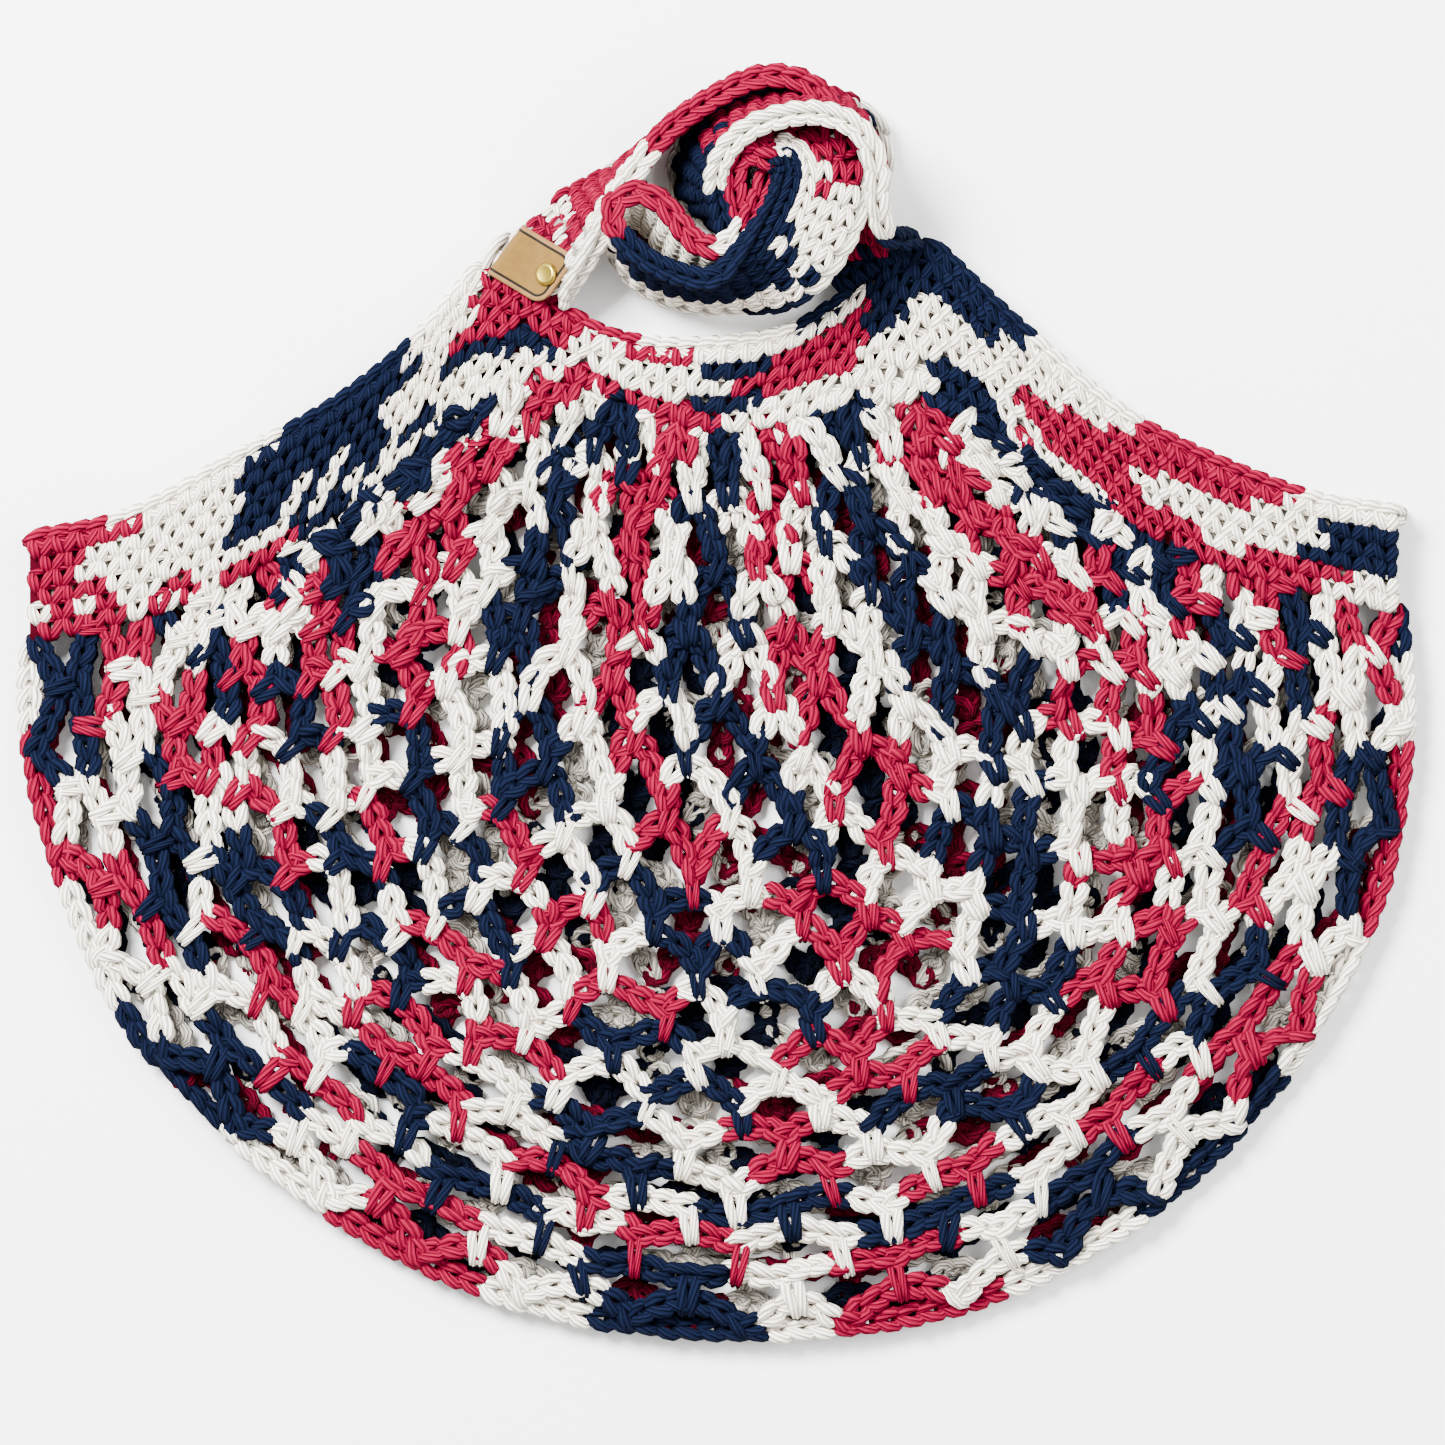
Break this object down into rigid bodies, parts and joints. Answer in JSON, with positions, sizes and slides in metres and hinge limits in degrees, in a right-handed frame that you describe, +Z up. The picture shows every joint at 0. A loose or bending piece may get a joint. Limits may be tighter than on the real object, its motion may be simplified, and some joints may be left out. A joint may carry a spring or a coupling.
{
  "type": "crocheted mesh market bag",
  "caption": "Crocheted cotton mesh market bag lying flat, with a close-stitched striped rim, its long strap wound up on top, and a riveted leather tag.",
  "frame": {"origin": "middle of the whole bag's bounding box in plan, on the surface that it lies on", "axes": "+Z up out of the surface, +Y towards the mouth and the wound strap, +X to the right seen from above"},
  "size_m": [0.3792, 0.3438, 0.0382],
  "materials": {
    "net_cotton": "matt crocheted cotton",
    "rim_cotton": "matt crocheted cotton",
    "strap_cotton": "matt crocheted cotton",
    "tag_leather": "smooth tanned leather",
    "rivet_brass": "polished"
  },
  "bodies": {
    "root": {"net_pouch": "net_cotton", "rim_band": "rim_cotton", "strap": "strap_cotton", "label_tag": "tag_leather", "rivet": "rivet_brass"}
  },
  "joints": []
}
